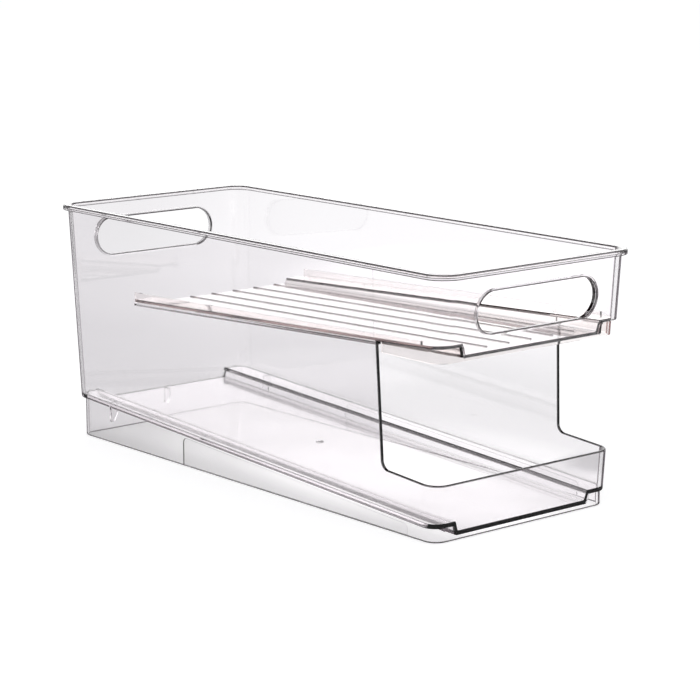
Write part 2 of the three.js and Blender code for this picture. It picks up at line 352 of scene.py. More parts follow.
class Solid:
    """One closed body in millimetres, built up by joining and cutting."""

    def __init__(self, mesh: Mesh) -> None:
        """Keep the mesh that the body is made of."""
        self.mesh = mesh

    @classmethod
    def from_shape(cls, shape: BMesh, mark: Mark = Mark.MOULDED) -> "Solid":
        """Turn the faces of a closed shape outwards and mark them.

        Args:
            shape: The closed shape, which is freed.
            mark: How its faces are marked.

        Returns:
            The body.
        """
        bmesh.ops.recalc_face_normals(shape, faces=shape.faces)
        if shape.calc_volume(signed=True) < 0:
            bmesh.ops.reverse_faces(shape, faces=shape.faces)
        for face in shape.faces:
            face.material_index = mark.value
        return cls.from_marked(shape)

    @classmethod
    def from_marked(cls, shape: BMesh) -> "Solid":
        """Take over a closed shape whose faces are marked, with a stand-in material for each mark.

        Args:
            shape: The closed shape, which is freed.

        Returns:
            The body.
        """
        mesh = bpy.data.meshes.new("part")
        shape.to_mesh(mesh)
        shape.free()
        for each in Mark:
            known = bpy.data.materials.get(each.name) or bpy.data.materials.new(each.name)
            mesh.materials.append(known)
        return cls(mesh)

    @classmethod
    def from_mesh(cls, mesh: Mesh) -> "Solid":
        """Take over a closed mesh that a tree made.

        Args:
            mesh: The mesh.

        Returns:
            The body, with its faces outwards.
        """
        shape = bmesh.new()
        shape.from_mesh(mesh)
        return cls.from_shape(shape)

    @classmethod
    def from_rings(cls, rings: list[Ring], mark: Mark = Mark.MOULDED) -> "Solid":
        """Skin rings of the same number of points into a closed body.

        Args:
            rings: The sections, in order.
            mark: How its faces are marked.

        Returns:
            The closed body, with its faces outwards.
        """
        shape = bmesh.new()
        rows = [[shape.verts.new(point) for point in ring] for ring in rings]
        count = len(rings[0])
        for low, high in zip(rows, rows[1:]):
            for i in range(count):
                after = (i + 1) % count
                shape.faces.new((low[i], low[after], high[after], high[i]))
        shape.faces.new(rows[0][::-1])
        shape.faces.new(rows[-1])
        return cls.from_shape(shape, mark)

    def remarked(self, mark: Mark, picks: Callable[[MeshPolygon], bool]) -> "Solid":
        """Mark the faces that a test picks.

        Args:
            mark: The mark that they get.
            picks: The test.

        Returns:
            This body.
        """
        for face in self.mesh.polygons:
            if picks(face):
                face.material_index = mark.value
        return self

    def with_rounded_marks(self) -> "Solid":
        """Mark the faces that lean as the rounding of an edge."""
        return self.remarked(Mark.ROUNDED, lambda face: LEANING[0] < abs(face.normal.z) < LEANING[1])

    def with_cuts_settled(self) -> "Solid":
        """Take the faces that a cut left as moulded ones from here on."""
        return self.remarked(Mark.MOULDED, lambda face: face.material_index == Mark.CUT.value)

    def with_flats_sunk(self) -> "Solid":
        """Mark the faces that look along X as the bottom of a shallow recess."""
        return self.remarked(Mark.SUNK, lambda face: abs(face.normal.x) > SQUARE_ON)

    def with_end_rounded(self, start: float) -> "Solid":
        """Mark the faces behind a place in Y as the rounding of an end."""
        return self.remarked(Mark.ROUNDED, lambda face: face.center.y > start)

    def with_clear_underside(self, low: float, high: float, front: float) -> "Solid":
        """Take the faces that look down between two heights, up to a place in Y, as moulded."""
        return self.remarked(Mark.MOULDED, lambda face: (
            face.normal.z < LOOKS_DOWN and low < face.center.z < high and face.center.y < front))

    def _combined(self, other: "Solid", operation: str) -> "Solid":
        """Combine this body with another.

        Args:
            other: The second body.
            operation: The name that the Boolean modifier has for it.

        Returns:
            The new body.
        """
        first, second = (placed("part", solid.mesh) for solid in (self, other))
        step = first.modifiers.new("combine", "BOOLEAN")
        step.operation, step.solver, step.object = operation, "MANIFOLD", second
        result = evaluated_mesh(first)
        for thing in (first, second):
            bpy.data.objects.remove(thing)
        return Solid(result)

    def plus(self, other: "Solid") -> "Solid":
        """Join another body to this one."""
        return self._combined(other, "UNION")

    def minus(self, other: "Solid") -> "Solid":
        """Cut another body out of this one."""
        return self._combined(other, "DIFFERENCE")

    def within(self, other: "Solid") -> "Solid":
        """Keep what lies inside another body as well."""
        return self._combined(other, "INTERSECT")

    def softened(self, radius: float, steps: int = 3) -> "Solid":
        """Round the edges that a cut left, as a polished mould has them.

        Args:
            radius: Radius of the rounding.
            steps: Faces across it.

        Returns:
            The body with rounded cut edges.
        """
        shape = bmesh.new()
        shape.from_mesh(self.mesh)
        bmesh.ops.remove_doubles(shape, verts=shape.verts, dist=MERGE_GAP)
        bmesh.ops.dissolve_limit(shape, angle_limit=FLAT_ANGLE, verts=shape.verts,
                                 edges=shape.edges, delimit={"MATERIAL"})
        both = {Mark.MOULDED.value, Mark.CUT.value}
        edges = [edge for edge in shape.edges if len(edge.link_faces) == 2
                 and {face.material_index for face in edge.link_faces} == both
                 and edge.calc_face_angle() > CUT_ANGLE]
        made = bmesh.ops.bevel(shape, geom=edges, offset=radius, offset_type="OFFSET", segments=steps,
                               profile=0.5, affect="EDGES", clamp_overlap=False, loop_slide=True)
        for face in made["faces"]:
            face.material_index = Mark.ROUNDED.value
        bmesh.ops.holes_fill(shape, edges=[edge for edge in shape.edges if edge.is_boundary])
        loose = [edge for edge in shape.edges if edge.is_wire]
        bmesh.ops.delete(shape, geom=loose, context="EDGES")
        # Where three roundings meet, a five-sided face can fold over itself until it is split.
        bmesh.ops.triangulate(shape, faces=[face for face in shape.faces if len(face.verts) == 5])
        return Solid.from_marked(shape)

    def piece(self, name: str, material: Material, cut_painted_shade: float) -> Object:
        """Make the finished piece in metres, smooth except at its sharp edges.

        Args:
            name: The piece's name.
            material: What it is made of.
            cut_painted_shade: How dark the painted shade makes a cut face, beside the rounding of an
                edge.

        Returns:
            The piece's object, at the origin.
        """
        self.mesh.transform(Matrix.Scale(MM, 4))
        self.mesh.name = name
        shape = bmesh.new()
        shape.from_mesh(self.mesh)
        # Each face gets its share of painted dark edge shade by the mark that made it: full on a
        # rounding, some on a cut face and in a recess, none on a moulded face.
        edge_shade = shape.faces.layers.float.new(EDGE_SHADE_LAYER)
        shade_shares = {Mark.MOULDED.value: 0.0, Mark.SUNK.value: SUNK_PAINTED_SHADE, Mark.CUT.value: cut_painted_shade,
                  Mark.ROUNDED.value: 1.0}
        for face in shape.faces:
            face[edge_shade] = shade_shares[face.material_index]
            face.material_index, face.smooth = 0, True
        for edge in shape.edges:
            edge.smooth = edge.calc_face_angle(math.pi) < SMOOTH_ANGLE
        shape.to_mesh(self.mesh)
        shape.free()
        self.mesh.materials.clear()
        self.mesh.materials.append(material)
        thing = placed(name, self.mesh)
        normals = thing.modifiers.new("even_normals", "WEIGHTED_NORMAL")
        normals.keep_sharp, normals.weight = True, 100
        thing.data = evaluated_mesh(thing)
        thing.modifiers.clear()
        return thing


def rounded_outline(half_width: float, half_length: float, radius: float) -> list[Point]:
    """Draw a rectangle with rounded corners.

    Args:
        half_width: Half its size along X.
        half_length: Half its size along Y.
        radius: Radius of its corners.

    Returns:
        Its points, turning left.
    """
    points = []
    for corner, (sx, sy) in enumerate([(1, 1), (-1, 1), (-1, -1), (1, -1)]):
        for step in range(CORNER_STEPS + 1):
            angle = (corner + step / CORNER_STEPS) * math.pi / 2
            points.append((sx * (half_width - radius) + radius * math.cos(angle),
                           sy * (half_length - radius) + radius * math.sin(angle)))
    return points


def filleted(corners: list[Corner]) -> list[Point]:
    """Round the corners of an outline.

    Args:
        corners: Each corner's place and its radius, 0 for a sharp one.

    Returns:
        The outline's points, always the same number for the same corners.
    """
    points = []
    for i, (x, y, radius) in enumerate(corners):
        here = Vector((x, y))
        if not radius:
            points.append((x, y))
            continue
        before = (Vector(corners[i - 1][:2]) - here).normalized()
        after = (Vector(corners[(i + 1) % len(corners)][:2]) - here).normalized()
        half = before.angle(after) / 2
        centre = here + (before + after).normalized() * (radius / math.sin(half))
        start = here + before * (radius / math.tan(half)) - centre
        end = here + after * (radius / math.tan(half)) - centre
        turn = -start.angle_signed(end) / FILLET_STEPS
        for step in range(FILLET_STEPS + 1):
            points.append(tuple(centre + Matrix.Rotation(turn * step, 2) @ start))
    return points


def arc(centre: Point, radius: float, start: float, stop: float) -> list[Point]:
    """Draw part of a circle.

    Args:
        centre: Its centre.
        radius: Its radius.
        start: Where it starts, in turns.
        stop: Where it stops, in turns.

    Returns:
        Its points.
    """
    turns = [start + (stop - start) * step / CORNER_STEPS for step in range(CORNER_STEPS + 1)]
    return [(centre[0] + radius * math.cos(turn * math.tau),
             centre[1] + radius * math.sin(turn * math.tau)) for turn in turns]


def bar(section: Section, start: float, stop: float, mark: Mark = Mark.MOULDED) -> Solid:
    """Run a section, drawn in X and Z at a place in Y, from one such place to another."""
    return Solid.from_rings([[(x, y, z) for x, z in section(y)] for y in (start, stop)], mark)


def even(section: list[Point]) -> Section:
    """Give the same section at every place in Y."""
    return lambda _: section


def side_plate(outline: list[Point], start: float, stop: float,
               mark: Mark = Mark.MOULDED) -> Solid:
    """Run an outline drawn in Y and Z from one place in X to another."""
    return Solid.from_rings([[(x, y, z) for y, z in outline] for x in (start, stop)], mark)


def joined(solids: Iterable[Solid]) -> Solid:
    """Join several bodies into one."""
    return reduce(Solid.plus, solids)


@dataclass(frozen=True)
class Walls:
    """The leaning walls that every other size follows, in millimetres."""

    length: float = 356.0
    width: float = 146.0
    height: float = 146.0
    corner_radius: float = 13.5
    thickness: float = 2.0
    corner_share: float = 0.5
    side_draft: float = 0.0207
    end_draft: float = 0.0645
    foot_radius: float = 9.0
    rim_reach: float = 3.0
    rim_drop: float = 3.2
    rim_thickness: float = 1.6
    rim_lip: float = 1.2
    rim_rounding: float = 0.9
    floor_front: float = 10.4
    floor_rear: float = 27.4
    rail_width: float = 15.5
    step_run: float = 1.8
    riser_share: float = 0.7

    def half_width(self, z: float) -> float:
        """Half the width over the walls' outer faces at a height."""
        return self.width / 2 - self.rim_reach - (self.height - z) * self.side_draft

    def half_length(self, z: float) -> float:
        """Half the length over the walls' outer faces at a height."""
        return self.length / 2 - self.rim_reach - (self.height - z) * self.end_draft

    def radius(self, z: float) -> float:
        """Radius of the walls' outer corners at a height."""
        gain = self.corner_radius - self.rim_reach - self.foot_radius
        return self.foot_radius + gain * z / self.height

    def ring(self, inset: float, z: float) -> Ring:
        """Draw the walls' outline at a height.

        Args:
            inset: How far it is set in from the outer faces.
            z: The height.

        Returns:
            The outline as a ring.
        """
        outline = rounded_outline(self.half_width(z) - inset, self.half_length(z) - inset,
                                  self.radius(z) - max(inset - self.thickness * self.corner_share, 0.0))
        return [(x, y, z) for x, y in outline]

    def block(self, inset: float, low: float, high: float, mark: Mark = Mark.MOULDED) -> Solid:
        """Make the block between two heights whose sides follow the walls."""
        return Solid.from_rings([self.ring(inset, low), self.ring(inset, high)], mark)

    def floor_height(self, y: float) -> float:
        """Height of the lower floor's rails at a place along the bin."""
        front, rear = -self.half_length(self.floor_front), self.half_length(self.floor_rear)
        return self.floor_front + (self.floor_rear - self.floor_front) * (y - front) / (rear - front)

    def rail_section(self, half: float, top: float, step: float, drop: float, far: float,
                     fillet: float) -> list[Point]:
        """Draw a rail at each side and a trough between, filled up or down to a far height.

        Args:
            half: Half the width that the rails end at.
            top: Height of the rails.
            step: How far the trough lies below them.
            drop: How far the whole section is lowered, as for an underside.
            far: Height that the section is filled to.
            fillet: Radius of its four bends.

        Returns:
            The closed section in X and Z.
        """
        rail = half - self.rail_width + drop * self.riser_share
        trough, wide = rail - self.step_run, half + OVERRUN
        top -= drop
        return filleted([
            (-wide, far, 0), (-wide, top, 0), (-rail, top, fillet), (-trough, top - step, fillet),
            (trough, top - step, fillet), (rail, top, fillet), (wide, top, 0), (wide, far, 0)])


@dataclass
class ShelfSeat:
    """Where the upper shelf lies between the walls, in millimetres."""

    walls: Walls
    front_height: float = 107.6
    rear_height: float = 95.4
    thickness: float = 1.7
    front_step: float = 6.3
    rear_step: float = 3.2
    clearance: float = 0.4
    drop_gap: float = 69.0
    fillet: float = 0.9
    window_head_from_front: float = 55.3

    def __post_init__(self) -> None:
        """Work out the shelf's two ends, its half width and where the window's head ends."""
        walls = self.walls
        self.inset = walls.thickness + self.clearance
        self.front = -(walls.half_length(self.front_height) - self.inset)
        self.rear = walls.half_length(self.rear_height) - walls.thickness - self.drop_gap
        self.half = walls.half_width(self.rear_height) - self.inset
        self.window_head = self.window_head_from_front - walls.length / 2

    def along(self, front: float, rear: float, y: float) -> float:
        """Share a value out between the shelf's front and its rear."""
        return front + (rear - front) * (y - self.front) / (self.rear - self.front)

    def height(self, y: float) -> float:
        """Height of the shelf's rails at a place along it."""
        return self.along(self.front_height, self.rear_height, y)

    def step(self, y: float) -> float:
        """Depth of the shelf's trough at a place along it."""
        return self.along(self.front_step, self.rear_step, y)

    def section(self, drop: float, far: float) -> Section:
        """Give the shelf's section, lowered and filled to a far height.

        Args:
            drop: How far it is lowered.
            far: Height that it is filled to.

        Returns:
            The section at a place in Y.
        """
        def at(y: float) -> list[Point]:
            """Draw the section at one place."""
            return self.walls.rail_section(self.half, self.height(y), self.step(y), drop, far,
                                           self.fillet)

        return at


def run_tree(tree: NodeTree, source: Mesh, values: dict[str, Any]) -> Mesh:
    """Run a Geometry Nodes tree on a mesh and keep the plain result.

    Args:
        tree: The tree, whose inputs are named.
        source: The mesh that goes in.
        values: What each named input is set to.

    Returns:
        The mesh that comes out.
    """
    thing = placed("source", source)
    step = thing.modifiers.new("nodes", "NODES")
    step.node_group = tree
    for item in tree.interface.items_tree:
        if item.item_type == "SOCKET" and item.in_out == "INPUT" and item.name in values:
            step[item.identifier] = values[item.name]
    result = evaluated_mesh(thing)
    bpy.data.objects.remove(thing)
    return result


def new_tree(name: str, inputs: dict[str, str]) -> NodeTree:
    """Start a Geometry Nodes tree with named inputs.

    Args:
        name: The tree's name.
        inputs: Socket type by input name, after the geometry.

    Returns:
        The tree, still without nodes.
    """
    tree = bpy.data.node_groups.new(name, "GeometryNodeTree")
    tree.interface.new_socket("Geometry", in_out="INPUT", socket_type="NodeSocketGeometry")
    for label, kind in inputs.items():
        tree.interface.new_socket(label, in_out="INPUT", socket_type=kind)
    tree.interface.new_socket("Geometry", in_out="OUTPUT", socket_type="NodeSocketGeometry")
    return tree


def finished_tree(tree: NodeTree, shape: NodeSocket, material: NodeSocket) -> NodeTree:
    """End a Geometry Nodes tree with real geometry in its material.

    Args:
        tree: The tree.
        shape: The geometry that it makes.
        material: What the geometry is made of.

    Returns:
        The finished tree.
    """
    whole = add(tree, "GeometryNodeRealizeInstances", {"Geometry": shape})
    dressed = add(tree, "GeometryNodeSetMaterial", {
        "Geometry": whole.outputs[0], "Material": material})
    add(tree, "NodeGroupOutput", {"Geometry": dressed.outputs[0]})
    return tree


@dataclass
class RolledRim:
    """The rim that turns out and down all the way round the mouth, in millimetres."""

    walls: Walls
    lip_rounding: float = 0.5
    root_share: float = 0.5

    def profile(self) -> Mesh:
        """Draw the rim's section, from its outer edge along -X and upwards along -Y.

        Returns:
            A loop of edges.
        """
        w, soft = self.walls, self.lip_rounding
        low, under = w.height - w.rim_drop, w.height - w.rim_thickness
        root = w.rim_reach + w.thickness * self.root_share
        points = filleted([
            (0, low, soft), (0, w.height, w.rim_rounding), (root, w.height, 0), (root, under, 0),
            (w.rim_lip, under, soft), (w.rim_lip, low, soft)])
        mesh = bpy.data.meshes.new("rim_section")
        count = len(points)
        edges = [(i, (i + 1) % count) for i in range(count)]
        mesh.from_pydata([(-inset, -z, 0) for inset, z in points], edges, [])
        return mesh

    def tree(self) -> NodeTree:
        """Build the tree that sweeps a section round the mouth.

        Returns:
            The tree.
        """
        tree = new_tree("rim_sweep", {
            "Length": "NodeSocketFloat", "Width": "NodeSocketFloat", "Radius": "NodeSocketFloat",
            "Steps": "NodeSocketInt", "Material": "NodeSocketMaterial"})
        given = add(tree, "NodeGroupInput").outputs
        section = add(tree, "GeometryNodeMeshToCurve", {"Mesh": given["Geometry"]})
        mouth = add(tree, "GeometryNodeCurvePrimitiveQuadrilateral", {
            "Width": given["Width"], "Height": given["Length"]})
        rounded = add(tree, "GeometryNodeFilletCurve", {
            "Curve": mouth.outputs[0], "Radius": given["Radius"], "Count": given["Steps"]},
            mode="POLY")
        upright = add(tree, "GeometryNodeSetCurveNormal", {"Curve": rounded.outputs[0]},
                      mode="Z_UP")
        swept = add(tree, "GeometryNodeCurveToMesh", {
            "Curve": upright.outputs[0], "Profile Curve": section.outputs[0]})
        return finished_tree(tree, swept.outputs[0], given["Material"])

    def build(self, material: Material) -> Solid:
        """Sweep the rim.

        Args:
            material: The bin's clear plastic.

        Returns:
            The rim as one closed ring.
        """
        w = self.walls
        swept = run_tree(self.tree(), self.profile(), {
            "Length": w.length, "Width": w.width, "Radius": w.corner_radius,
            "Steps": CORNER_STEPS, "Material": material})
        return Solid.from_mesh(swept).with_rounded_marks()


class Side(Enum):
    """The two long sides of the bin."""

    LEFT = -1
    RIGHT = 1


@dataclass
class BinBody:
    """The bin in one clear moulding, in millimetres."""

    walls: Walls
    seat: ShelfSeat
    floor_thickness: float = 2.5
    floor_step: float = 5.6
    floor_fillet: float = 1.2
    skirt_thickness: float = 2.0
    skirt_side_inset: float = 2.2
    skirt_end_inset: float = 0.8
    skirt_radius: float = 8.0
    panel_from_front: float = 34.0
    panel_length: float = 201.0
    panel_depth: float = 0.5
    panel_margin: float = 2.2
    panel_radius: float = 3.0
    panel_rounding: float = 0.3
    gusset_from_rear: float = 44.0
    gusset_thickness: float = 1.6
    gusset_reach: float = 5.0
    gusset_drop: float = 10.0
    seat_gap: float = 0.3
    ledge_reach: float = 4.0
    ledge_tip: float = 1.0
    ledge_root: float = 1.8
    window_front_sill: float = 30.6
    window_rear_sill: float = 34.2
    window_sill_from_front: float = 52.0
    window_radius: float = 5.0
    slot_length: float = 88.0
    slot_height: float = 22.7
    slot_from_top: float = 23.5
    collar_reach: float = 1.6
    collar_width: float = 1.4
    cut_rounding: float = 0.7
    # Painted shade on the faces that the openings cut, as a share of the dark edge colour.
    cut_painted_shade: float = 0.6
    gate_radius: float = 2.4
    gate_height: float = 0.7
    gate_place: Point = (3.0, 10.0)
    foot_rounding: float = 0.6
    tub_rounding: float = 0.8
    witness_from_front: float = 57.0
    witness_width: float = 0.5
    witness_depth: float = 0.12

    def __post_init__(self) -> None:
        """Work out the places that several of the methods share."""
        walls = self.walls
        self.far = walls.length / 2 + OVERRUN
        self.floor_half = walls.half_width(walls.floor_front) - walls.thickness
        self.skirt_half = walls.half_width(walls.floor_front) - self.skirt_side_inset
        self.skirt_end = walls.half_length(walls.floor_front) - self.skirt_end_inset

    def floor_section(self, drop: float, far: float) -> Section:
        """Give the floor's section, lowered and filled to a far height.

        Args:
            drop: How far it is lowered.
            far: Height that it is filled to.

        Returns:
            The section at a place in Y.
        """
        def at(y: float) -> list[Point]:
            """Draw the section at one place."""
            return self.walls.rail_section(self.floor_half, self.walls.floor_height(y),
                                           self.floor_step, drop, far, self.floor_fillet)

        return at

    def floor_under(self, y: float) -> float:
        """Height of the underside of the floor's rails at a place along the bin."""
        return self.walls.floor_height(y) - self.floor_thickness

    def hollow(self) -> Solid:
        """Make the space inside the walls, rounded outwards at its mouth.

        Returns:
            The block that is cut out of the tub.
        """
        w = self.walls
        rings = [w.ring(w.thickness, -OVERRUN)]
        for turn in QUARTER_TURN:
            z = w.height - w.rim_rounding * (1 - math.sin(turn))
            rings.append(w.ring(w.thickness - w.rim_rounding * (1 - math.cos(turn)), z))
        rings.append([(x, y, w.height + OVERRUN) for x, y, _ in rings[-1]])
        above = bar(self.floor_section(0, 2 * w.height), -self.far, self.far)
        return Solid.from_rings(rings).with_rounded_marks().within(above)

    def tub(self) -> Solid:
        """Make the walls and the floor as one block, still solid inside.

        Returns:
            The block, with its lower edge rounded.
        """
        below = bar(self.floor_section(self.floor_thickness, -self.walls.height), -self.far,
                    self.far, Mark.CUT)
        tub = self.walls.block(0, -OVERRUN, self.walls.height).minus(below)
        return tub.softened(self.tub_rounding).with_cuts_settled()

    def skirt_ring(self, inset: float, z: float) -> Ring:
        """Draw the skirt's outline at a height.

        Args:
            inset: How far it is set in from the outer face.
            z: The height.

        Returns:
            The outline as a ring.
        """
        outline = rounded_outline(self.skirt_half - inset, self.skirt_end - inset,
                                  self.skirt_radius - inset)
        return [(x, y, z) for x, y in outline]

    def skirt_wall(self) -> Solid:
        """Make the skirt's plain wall, rounded at its foot.

        Returns:
            The wall, up to the floor's highest place.
        """
        soft, thick, top = self.foot_rounding, self.skirt_thickness, self.walls.floor_rear
        foot = [(soft * (1 - math.sin(turn)), soft * (1 - math.cos(turn))) for turn in QUARTER_TURN]
        outer = [*(self.skirt_ring(inset, z) for inset, z in foot), self.skirt_ring(0, top)]
        inner = [self.skirt_ring(thick - inset, z) for inset, z in foot]
        below = [(x, y, -OVERRUN) for x, y, _ in inner[0]]
        space = [below, *inner, self.skirt_ring(thick, top + OVERRUN)]
        wall = Solid.from_rings(outer).with_rounded_marks()
        return wall.minus(Solid.from_rings(space).with_rounded_marks())

    def with_panels(self, skirt: Solid) -> Solid:
        """Sink a shallow panel into each long side of the skirt.

        Args:
            skirt: The skirt's plain wall.

        Returns:
            The wall with its panels, whose edges are rounded.
        """
        front = self.panel_from_front - self.walls.length / 2
        rear, low, r = front + self.panel_length, self.foot_rounding, self.panel_radius
        front_top, rear_top = (self.floor_under(y) - self.panel_margin for y in (front, rear))
        outline = [(front, low), (rear, low), *arc((rear - r, rear_top - r), r, 0, 0.25),
                   *arc((front + r, front_top - r), r, 0.25, 0.5)]
        for side in Side:
            bottom = side.value * (self.skirt_half - self.panel_depth)
            outside = side.value * (self.skirt_half + OVERRUN)
            panel = side_plate(outline, min(bottom, outside), max(bottom, outside), Mark.CUT)
            skirt = skirt.minus(panel.with_flats_sunk())
        return skirt.softened(self.panel_rounding, steps=2).with_cuts_settled()

    def with_gussets(self, skirt: Solid) -> Solid:
        """Join the three small gussets behind the skirt.

        Args:
            skirt: The skirt's wall.

        Returns:
            The skirt with its gussets.
        """
        reach, thick = self.gusset_reach, self.gusset_thickness

        def outline(face: float, low: float) -> list[Point]:
            """Draw one gusset against a face of the skirt.

            Args:
                face: How far out the face lies.
                low: Where the gusset starts.

            Returns:
                Its outline, across and up.
            """
            top, root = self.walls.floor_rear, face - self.skirt_thickness / 2
            tip = face - self.skirt_thickness - reach
            return [(root, low), (root, top), (tip, top), (tip, low + reach),
                    (tip + reach / 2, low)]

        place = self.walls.length / 2 - self.gusset_from_rear
        for side in Side:
            drawn = outline(self.skirt_half, self.floor_under(place) - self.gusset_drop)
            section = even([(side.value * x, z) for x, z in drawn])
            skirt = skirt.plus(bar(section, place - thick / 2, place + thick / 2))
        low = self.floor_under(self.skirt_end) - self.floor_step - self.gusset_drop
        return skirt.plus(side_plate(outline(self.skirt_end, low), -thick / 2, thick / 2))

    def skirt(self) -> Solid:
        """Make the skirt that the bin stands on, with its panels and gussets.

        Returns:
            The skirt, cut off inside the floor's thickness.
        """
        above = bar(self.floor_section(self.floor_thickness / 2, 2 * self.walls.height), -self.far,
                    self.far)
        return self.with_gussets(self.with_panels(self.skirt_wall())).minus(above)

    def ledges(self) -> Solid:
        """Make the ledges that carry the shelf, along both sides and round the front corners.

        Returns:
            Both ledges.
        """
        w, s = self.walls, self.seat
        root = w.block(w.thickness / 2, 0, w.height)
        shell = root.minus(w.block(w.thickness + self.ledge_reach, -OVERRUN, w.height + OVERRUN))
        rail = s.half - w.rail_width + s.thickness * w.riser_share + s.clearance
        tip, wide = s.half - self.ledge_reach, s.half + OVERRUN
        corners = ((rail, 0), (wide, 0), (wide, self.ledge_root), (s.half, self.ledge_root),
                   (tip, self.ledge_tip), (rail, self.ledge_tip))

        def section(side: Side, y: float) -> list[Point]:
            """Draw one side's ledge at a place along the bin."""
            top = s.height(y) - s.thickness - self.seat_gap
            return [(side.value * x, top - drop) for x, drop in corners]

        return joined(bar(partial(section, side), -self.far, s.rear).within(shell) for side in Side)

    def window(self) -> Solid:
        """Make the block that cuts the window, up to the shelf's underside.

        Returns:
            The block, marked as a cut.
        """
        w, s, r = self.walls, self.seat, self.window_radius
        front = -w.length / 2
        sill_rear = front + self.window_sill_from_front
        outline = [(front - OVERRUN, self.window_front_sill),
                   *arc((sill_rear - r, self.window_rear_sill + r), r, 0.75, 1.0),
                   (s.window_head, s.front_height), (front - OVERRUN, s.front_height)]
        under = bar(s.section(s.thickness, -w.height), -self.far, self.far, Mark.CUT)
        return side_plate(outline, -w.width, w.width, Mark.CUT).within(under)

    def slots(self, margin: float = 0.0, mark: Mark = Mark.CUT) -> Solid:
        """Make the bar that cuts a handle slot through the front and the rear wall.

        Args:
            margin: How much larger the bar is all round.
            mark: How its faces are marked.

        Returns:
            The bar.
        """
        z, r = self.walls.height - self.slot_from_top, self.slot_height / 2
        reach = self.slot_length / 2 - r
        outline = [*arc((reach, z), r + margin, -0.25, 0.25),
                   *arc((-reach, z), r + margin, 0.25, 0.75)]
        return bar(even(outline), -self.walls.length, self.walls.length, mark)

    def collars(self) -> Solid:
        """Make the raised edge round both slots, still solid between the two walls."""
        outer = self.walls.block(-self.collar_reach, 0, self.walls.height)
        return self.slots(self.collar_width, Mark.MOULDED).within(outer)

    def witness(self) -> Solid:
        """Make the hairline grooves that the mould's two halves leave in both side walls.

        Returns:
            Both, from the window's head up to the rim.
        """
        w, half = self.walls, self.witness_width / 2
        y = self.witness_from_front - w.length / 2
        heights = (self.seat.height(y), w.height - w.rim_thickness)
        corners = ((-half, half), (half, half), (0, -self.witness_depth))

        def groove(side: Side) -> Solid:
            """Make the groove in one side wall.

            Args:
                side: The wall's side.

            Returns:
                The groove.
            """
            return Solid.from_rings([
                [(side.value * (w.half_width(z) + out), y + along, z) for along, out in corners]
                for z in heights])

        return joined(map(groove, Side))

    def gate_mark(self) -> Solid:
        """Make the low stub that the gate leaves under the middle of the floor.

        Returns:
            The stub, from inside the floor's thickness.
        """
        x, y = self.gate_place
        under = self.floor_under(y) - self.floor_step
        circle = arc((x, y), self.gate_radius, 0.0, 1.0)[:-1]
        return Solid.from_rings([[(a, b, z) for a, b in circle] for z in (
            under + self.floor_thickness / 2, under - self.gate_height)])

    def build(self, material: Material) -> Object:
        """Join the forms, cut the openings and dress the bin.

        Args:
            material: The bin's clear plastic.

        Returns:
            The finished piece.
        """
        rim = RolledRim(self.walls).build(material)
        body = self.tub().plus(rim).plus(self.collars()).minus(self.hollow())
        body = body.plus(self.ledges()).plus(self.skirt())
        body = body.plus(self.gate_mark()).minus(self.window()).minus(self.slots())
        body = body.minus(self.witness())
        body = body.softened(self.cut_rounding).with_clear_underside(
            self.seat.rear_height, self.seat.front_height, self.seat.window_head)
        piece = body.piece("bin_moulding", material, self.cut_painted_shade)
        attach(piece, "bin")
        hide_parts("bin_body")
        return piece


